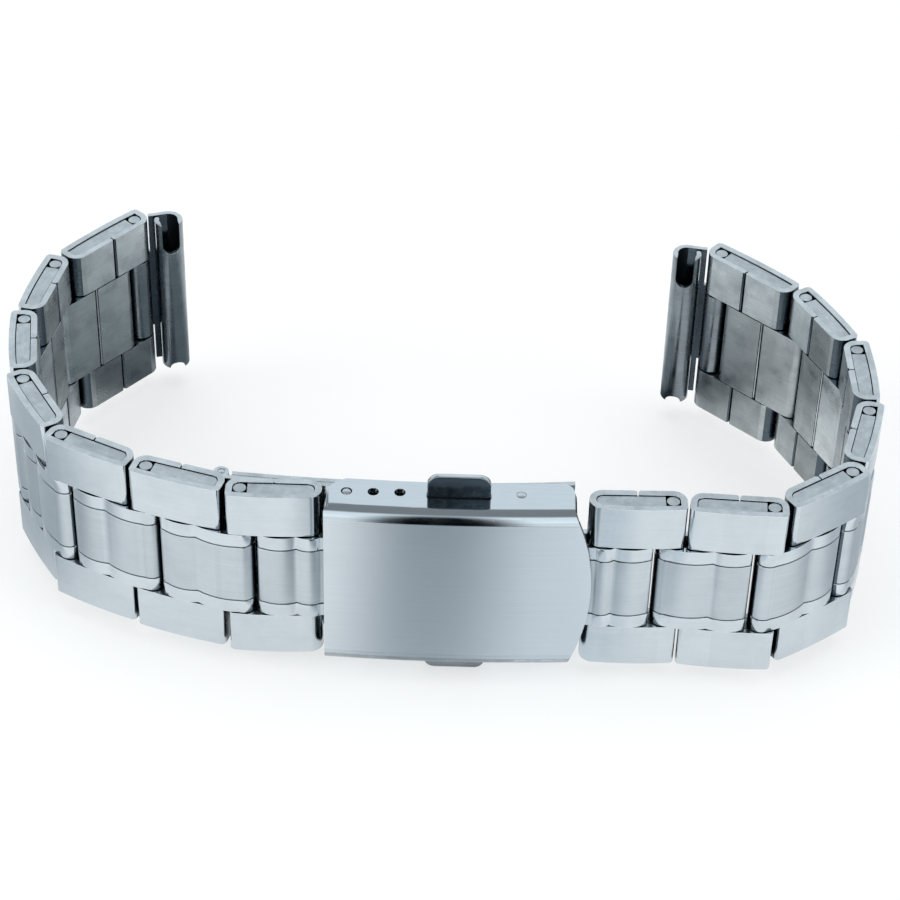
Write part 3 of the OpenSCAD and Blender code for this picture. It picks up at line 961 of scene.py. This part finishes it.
@dataclass
class Clasp:
    """The folding clasp: its cover, blades, buttons, pins and springs."""

    smith: Smith
    # The cover is a sheet bent to a crown, whose axis lies cover_left from its left end. The
    # polish carries each bend on by cover_roll, and a face whose normal has a Y above
    # cover_inside is on the wrist side.
    cover_edge: float = 0.1 * MM
    cover_bend: float = 0.9 * MM
    cover_roll: float = 0.55 * MM
    cover_crown: float = 173.0 * MM
    cover_left: float = 10.955 * MM
    cover_wall: float = 0.5 * MM
    cover_inside: float = 0.3
    # The buttons and the spring bar's tips, with how far each slides.
    button_edge: float = 0.12 * MM
    button_seam: float = 0.14 * MM
    button_travel: float = 1.0 * MM
    tip_edge: float = 0.12 * MM
    tip_travel: float = 0.9 * MM
    blade_edge: float = 0.05 * MM
    pin_edge: float = 0.06 * MM
    # The shifts of the grain in millimetres: the last one is for each letter of a name.
    cover_shift: float = 5.0
    button_shift: float = 3.0
    spring_shift: float = 11.0
    letter_shift: float = 7.0

    def cover_normal(self) -> Callable[[Vector], Vector]:
        """Works out the cover's outer shell: its crowned face, its bends and its walls.

        The polish carries each bend a little way onto the face, so its curve ends there.

        Returns:
            A function that gives the shell's normal at a place.
        """
        low, high = (Vector(c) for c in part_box("clasp_cover"))
        axis = Vector((low.x + self.cover_left, low.y + self.cover_crown, 0))
        bend, roll = self.cover_bend, self.cover_roll
        middle, rise = (low.z + high.z) / 2, (high.z - low.z) / 2 - bend
        quarter = math.pi / 2

        def normal(p: Vector) -> Vector:
            """Follows the shell from a wall round its bend to the face.

            Args:
                p: a place on the shell.

            Returns:
                The normal there.
            """
            out = Vector((p.x, p.y, 0)) - axis
            side = math.copysign(1, p.z - middle)
            depth = out.length - (self.cover_crown - bend)
            height = abs(p.z - middle) - rise
            if height > 0:
                path = bend * math.atan2(max(depth, 0), height)
            else:
                path = bend * quarter - height
            turned = min(path / (bend * quarter + roll), 1) * quarter
            return out.normalized() * math.sin(turned) + Vector((0, 0, side * math.cos(turned)))

        return normal

    def cover(self) -> None:
        """Dresses the cover: a satin face, mirror-polished bends and walls, a pressed inside."""
        finishes = [SATIN, MIRRORED, PRESSED, WORN_HIGHLIGHT]
        bm = self.smith.merged("clasp_cover")
        highlit_edges = self.smith.soften(bm, self.cover_edge)
        low, high = (Vector(c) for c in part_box("clasp_cover"))
        reach = self.cover_bend + self.cover_roll
        face_low, face_high = low.z + reach, high.z - reach
        for height in (face_low, face_high):
            self.smith.score(bm, height)
        for face in bm.faces:
            if face.normal.y > self.cover_inside:
                face.material_index = finishes.index(PRESSED)
            # Rounded edges get a painted highlight, with their wear.
            elif face in highlit_edges:
                face.material_index = finishes.index(WORN_HIGHLIGHT)
            elif not face_low < face.calc_center_median().z < face_high:
                face.material_index = finishes.index(MIRRORED)
        self.smith.grain(bm, Matrix.Identity(4), self.cover_shift)
        self.smith.piece(
            bm, "cover", "clasp_cover", finishes, Slot.BRUSHED, self.cover_normal()
        )

    def button(self, which: str) -> None:
        """Dresses a button: bright rim, painted dark front and seam, pressed steel inside.

        Args:
            which: "upper" or "lower".
        """
        # The front is painted dark as a dark reflection, the upper button's darker than the
        # lower's.
        front = SHADED if which == "upper" else ROLLED
        finishes = [POLISHED, front, SEAM_SHADE, STAMPED]
        bm = self.smith.merged(f"{which}_button")
        self.smith.soften(bm, self.button_edge)
        low, high = (Vector(c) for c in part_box("clasp_cover"))
        side, wall = (1, high.z) if which == "upper" else (-1, low.z)
        seam = wall + side * self.button_seam
        inside = wall - side * self.cover_wall
        for height in (seam, inside):
            self.smith.score(bm, height)
        for face in bm.faces:
            height = side * face.calc_center_median().z
            if height < side * inside:
                face.material_index = finishes.index(STAMPED)
            # The seam at the wall gets painted shade.
            elif height < side * seam:
                face.material_index = finishes.index(SEAM_SHADE)
            elif face.normal.y < -SQUARELY:
                face.material_index = finishes.index(front)
        self.smith.grain(bm, Matrix.Identity(4), self.button_shift)
        self.smith.piece(bm, f"button_{which}", f"{which}_button", finishes, Slot.POLISHED)

    def spring(self, node: str) -> None:
        """Dresses a coil spring as two halves, each with a mesh of its own.

        Args:
            node: the CAD node.
        """
        low, high = (Vector(c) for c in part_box(node))
        middle = (low + high) / 2
        for which, side in (("upper", 1), ("lower", -1)):
            bm = self.smith.merged(node)
            bmesh.ops.bisect_plane(
                bm,
                geom=[*bm.verts, *bm.edges, *bm.faces],
                plane_co=middle,
                plane_no=(0, 0, side),
                clear_inner=True,
            )
            bmesh.ops.holes_fill(bm, edges=[e for e in bm.edges if e.is_boundary], sides=0)
            self.smith.grain(bm, Matrix.Identity(4), self.spring_shift * side)
            half = self.smith.piece(bm, f"{node}_{which}_half", node, [STAMPED], Slot.INNER)
            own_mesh(half)

    def dress(
        self, node: str, name: str, finishes: list[SteelFinish], slot: Slot, radius: float
    ) -> None:
        """Dresses one clasp node as it is.

        Args:
            node: the CAD node.
            name: the piece's name.
            finishes: its finish, and any other one for the edges that look up or down.
            slot: the record's material slot.
            radius: the rounding of its edges, or 0 for none.
        """
        bm = self.smith.merged(node)
        if radius:
            self.smith.soften(bm, radius)
        for face in bm.faces:
            if abs(face.normal.z) > MOSTLY:
                face.material_index = len(finishes) - 1
        self.smith.grain(bm, Matrix.Identity(4), self.letter_shift * len(name))
        self.smith.piece(bm, name, node, finishes, slot)

    def build(self) -> None:
        """Dresses every piece of the clasp."""
        self.cover()
        for which in ("inner", "outer"):
            self.dress(
                f"{which}_blade",
                f"blade_{which}",
                [POLISHED, SHEARED],
                Slot.POLISHED,
                self.blade_edge,
            )
        for which in ("upper", "lower"):
            self.button(which)
            self.dress(
                f"spring_bar_{which}_tip",
                f"bar_tip_{which}",
                [SHEARED],
                Slot.POLISHED,
                self.tip_edge,
            )
        for node in ("cover_hinge_pin", "fold_hinge_pin", "band_hinge_pin", "spring_bar_tube"):
            self.dress(node, f"{node}_dressed", [SHEARED], Slot.POLISHED, self.pin_edge)
        self.dress("button_guides", "button_guides_dressed", [STAMPED], Slot.INNER, 0.0)
        self.spring("latch_spring")
        self.spring("spring_bar_coil")


@dataclass(frozen=True)
class Lamp:
    """A soft lamp that looks at the bracelet: metres for its size and watts for its power."""

    name: str
    place: tuple[float, float, float]
    size: tuple[float, float]
    power: float
    target: tuple[float, float, float] = (0.0, 0.0, 0.01)

    def hang(self) -> None:
        """Adds the lamp, which lights the metal but isn't mirrored in it."""
        data = bpy.data.lights.new(self.name, "AREA")
        data.shape = "RECTANGLE"
        data.size, data.size_y = self.size
        data.energy = self.power
        lamp = bpy.data.objects.new(self.name, data)
        lamp.visible_glossy = False
        bpy.context.scene.collection.objects.link(lamp)
        lamp.location = self.place
        aim = Vector(self.target) - Vector(self.place)
        lamp.rotation_euler = aim.to_track_quat("-Z", "Y").to_euler()


@dataclass(frozen=True)
class Card:
    """A soft-edged card that only the metal's reflections see, as a painted reflection.

    It lies level just above the table, or turned about X by its tilt in degrees. Its edge
    fades over the soft share of its half width. Where cards overlap, the higher one shows.
    """

    name: str
    middle: tuple[float, float, float]
    size: tuple[float, float]
    tone: str
    soft: float = 0.55
    tilt: float = 0.0

    def material(self) -> bpy.types.Material:
        """Makes the card's glow, a painted reflection in its tone, which clears towards its
        edge.

        Returns:
            The material.
        """
        made = blank_material(self.name)
        tree = made.node_tree
        place = add_node(tree, "ShaderNodeTexCoord").outputs["Generated"]
        # Turns the card's own 0 to 1 into -1 to 1, so that the gradient starts at its middle.
        from_middle = add_node(
            tree,
            "ShaderNodeMapping",
            {"Vector": place, "Location": (-1, -1, -1), "Scale": (2, 2, 2)},
        ).outputs["Vector"]
        inwards = add_node(
            tree, "ShaderNodeTexGradient", {"Vector": from_middle}, gradient_type="SPHERICAL"
        ).outputs["Fac"]
        cover = add_node(
            tree,
            "ShaderNodeMapRange",
            {"Value": inwards, "From Min": 0.0, "From Max": self.soft},
            interpolation_type="SMOOTHSTEP",
        ).outputs["Result"]
        clear = add_node(tree, "ShaderNodeBsdfTransparent").outputs[0]
        glow = add_node(
            tree, "ShaderNodeEmission", {"Color": linear(self.tone), "Strength": 1.0}
        ).outputs[0]
        both = add_node(tree, "ShaderNodeMixShader", {0: cover, 1: clear, 2: glow}).outputs[0]
        add_node(tree, "ShaderNodeOutputMaterial", {"Surface": both})
        return made

    def place(self) -> None:
        """Puts the card in its place."""
        bm = bmesh.new()
        bmesh.ops.create_grid(bm, x_segments=1, y_segments=1, size=0.5)
        bmesh.ops.scale(bm, vec=(self.size[0], self.size[1], 1), verts=bm.verts)
        lean = Matrix.Rotation(math.radians(self.tilt), 3, "X")
        bmesh.ops.rotate(bm, cent=(0, 0, 0), matrix=lean, verts=bm.verts)
        bmesh.ops.translate(bm, vec=self.middle, verts=bm.verts)
        card = link_mesh(bm, self.name)
        card.data.materials.append(self.material())
        card.visible_camera = False
        card.visible_diffuse = False
        card.visible_shadow = False
        card.visible_transmission = False


@dataclass
class Studio:
    """The white table, the soft lamps, the cards and the camera."""

    # The camera, fitted to the photograph: pixels of its frame, and degrees.
    focal_px: float = 2778.0
    frame_px: float = 900.0
    sensor_mm: float = 36.0
    pitch: float = 40.70
    roll: float = 1.62
    eye: tuple[float, float, float] = (0.92 * MM, -201.98 * MM, 183.09 * MM)
    nearest: float = 0.005
    farthest: float = 20.0
    # The table's half width, its paint, the share of it that is its own glow for the camera
    # and the metal, and how far out it goes over into white.
    table: float = 3.0
    table_tone: str = "#F4F4F4"
    table_glow: float = 0.55
    white_from: float = 0.09
    white_to: float = 0.30
    # The room's light by the angle from its back, over the top, to its front, in degrees. For
    # the camera a level edge mirrors it at 41, where it is pale, and the cover's upper bend
    # mirrors the dark part overhead.
    room_tone: str = "#E6EEF3"
    room_bands: tuple[tuple[float, float], ...] = (
        (1, 0.7),
        (28, 1.0),
        (41, 1.17),
        (45, 1.14),
        (53, 0.36),
        (112, 0.34),
        (125, 1.3),
        (165, 1.5),
        (179, 1.3),
    )
    lamps: tuple[Lamp, ...] = (
        Lamp("lamp_above", (0.05, 0.15, 1.0), (0.9, 0.6), 4.0),
        Lamp("lamp_left", (-0.7, -0.25, 0.5), (0.5, 0.6), 3.0),
        Lamp("lamp_right", (0.7, -0.25, 0.5), (0.5, 0.6), 2.0),
    )
    # The standing card is a painted dark reflection on the cover's upper bend. The patches are
    # painted shade and light in the reflections: those before the clasp grade the cover's face,
    # and the others the two curves of links and the end pieces' tubes.
    cards: tuple[Card, ...] = (
        Card("front_card", (0.0, -0.057, 0.005), (0.027, 0.2), "#04080C", tilt=90.0),
        Card("front_fade", (0.001, -0.060, 0.0008), (0.032, 0.018), "#6A747C", soft=0.8),
        Card("front_patch", (-0.001, -0.043, 0.0007), (0.025, 0.1), "#A8B2B9", soft=0.8),
        Card("right_streak", (0.0108, -0.048, 0.0006), (0.022, 0.09), "#E6EEF4"),
        Card("left_patch", (-0.019, 0.009, 0.0006), (0.044, 0.05), "#8D969B"),
        Card("right_patch", (0.015, 0.014, 0.0006), (0.026, 0.024), "#A4ACB0"),
        Card("left_tube_patch", (-0.0285, 0.008, 0.0009), (0.007, 0.036), "#606A71"),
        Card("right_tube_patch", (0.0205, 0.008, 0.0009), (0.006, 0.036), "#2A343B"),
        Card("left_front_patch", (-0.055, -0.005, 0.0006), (0.052, 0.056), "#BFC7CD"),
        Card("right_front_patch", (0.060, -0.005, 0.0006), (0.052, 0.056), "#C8CFD5"),
    )

    def camera(self) -> None:
        """Sets the camera where the photograph was taken from."""
        data = bpy.data.cameras.new("camera")
        data.sensor_width = self.sensor_mm
        data.lens = self.sensor_mm * self.focal_px / self.frame_px
        data.clip_start = self.nearest
        data.clip_end = self.farthest
        camera = bpy.data.objects.new("camera", data)
        bpy.context.scene.collection.objects.link(camera)
        camera.matrix_world = (
            Matrix.Translation(self.eye)
            @ Matrix.Rotation(math.radians(90 - self.pitch), 4, "X")
            @ Matrix.Rotation(math.radians(self.roll), 4, "Z")
        )
        bpy.context.scene.camera = camera

    def glow_share(self, tree: bpy.types.NodeTree) -> bpy.types.NodeSocket:
        """Works out how much of the table is its own white glow.

        The camera and the metal see part of it everywhere, and the camera sees nothing else
        far from the bracelet, where the table goes over into the white of the room.

        Args:
            tree: the table's node tree.

        Returns:
            The share of glow.
        """
        seen = add_node(tree, "ShaderNodeLightPath").outputs
        mirrored = add_node(
            tree,
            "ShaderNodeMath",
            {0: seen["Is Camera Ray"], 1: seen["Is Glossy Ray"]},
            operation="ADD",
        ).outputs[0]
        either = add_node(
            tree,
            "ShaderNodeMath",
            {0: mirrored, 1: seen["Is Transmission Ray"]},
            operation="ADD",
            use_clamp=True,
        ).outputs[0]
        share = add_node(
            tree, "ShaderNodeMath", {0: either, 1: self.table_glow}, operation="MULTIPLY"
        ).outputs[0]
        spot = add_node(tree, "ShaderNodeNewGeometry").outputs["Position"]
        away = add_node(
            tree, "ShaderNodeVectorMath", {0: spot}, operation="LENGTH"
        ).outputs["Value"]
        rest = add_node(
            tree,
            "ShaderNodeMapRange",
            {
                "Value": away,
                "From Min": self.white_from,
                "From Max": self.white_to,
                "To Min": 0.0,
                "To Max": 1 - self.table_glow,
            },
            interpolation_type="SMOOTHSTEP",
        ).outputs["Result"]
        return add_node(
            tree,
            "ShaderNodeMath",
            {0: rest, 1: seen["Is Camera Ray"], 2: share},
            operation="MULTIPLY_ADD",
        ).outputs[0]

    def floor(self) -> None:
        """Lays the pale table, which the camera and the metal see as white."""
        bm = bmesh.new()
        bmesh.ops.create_grid(bm, x_segments=1, y_segments=1, size=self.table)
        top = link_mesh(bm, "table_top")
        made = blank_material("white_table")
        tree = made.node_tree
        share = self.glow_share(tree)
        paint = add_node(
            tree, "ShaderNodeBsdfDiffuse", {"Color": linear(self.table_tone)}
        ).outputs[0]
        glow = add_node(
            tree, "ShaderNodeEmission", {"Color": linear(WHITE), "Strength": 1.0}
        ).outputs[0]
        both = add_node(tree, "ShaderNodeMixShader", {0: share, 1: paint, 2: glow}).outputs[0]
        add_node(tree, "ShaderNodeOutputMaterial", {"Surface": both})
        top.data.materials.append(made)

    def world(self) -> None:
        """Surrounds the table with a room that the metal mirrors and the camera sees white."""
        room = bpy.data.worlds.new("room")
        room.use_nodes = True
        tree = room.node_tree
        tree.nodes.clear()
        seen = add_node(tree, "ShaderNodeLightPath").outputs
        way = add_node(tree, "ShaderNodeTexCoord").outputs["Generated"]
        parts = add_node(tree, "ShaderNodeSeparateXYZ", {"Vector": way}).outputs
        turn = add_node(
            tree, "ShaderNodeMath", {0: parts["Z"], 1: parts["Y"]}, operation="ARCTAN2"
        ).outputs[0]
        share = add_node(
            tree, "ShaderNodeMath", {0: turn, 1: math.pi}, operation="DIVIDE"
        ).outputs[0]
        bands = add_node(tree, "ShaderNodeValToRGB", {"Fac": share})
        for degrees, light in self.room_bands:
            stop = bands.color_ramp.elements.new(degrees / 180)
            stop.color = (light, light, light, 1)
        bands.color_ramp.elements.remove(bands.color_ramp.elements[0])
        bands.color_ramp.elements.remove(bands.color_ramp.elements[-1])
        lit = add_node(
            tree,
            "ShaderNodeBackground",
            {"Color": linear(self.room_tone), "Strength": bands.outputs["Color"]},
        ).outputs[0]
        white = add_node(
            tree, "ShaderNodeBackground", {"Color": linear(WHITE), "Strength": 1.0}
        ).outputs[0]
        both = add_node(
            tree, "ShaderNodeMixShader", {0: seen["Is Camera Ray"], 1: lit, 2: white}
        ).outputs[0]
        add_node(tree, "ShaderNodeOutputWorld", {"Surface": both})
        bpy.context.scene.world = room

    def build(self) -> None:
        """Sets up the table, the room, the lamps, the cards and the camera."""
        self.floor()
        self.world()
        for lamp in self.lamps:
            lamp.hang()
        for card in self.cards:
            card.place()
        self.camera()


def main() -> None:
    """Loads the frame, dresses every piece and sets up the studio."""
    logging.basicConfig(level=logging.INFO, format="%(name)s: %(message)s")
    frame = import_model()
    bpy.context.scene.view_settings.view_transform = "Standard"
    smith = Smith(frame)
    Clasp(smith).build()
    for half in Half:
        BandHalf(smith, half).build()
    Studio().build()


if __name__ == "__main__":
    main()
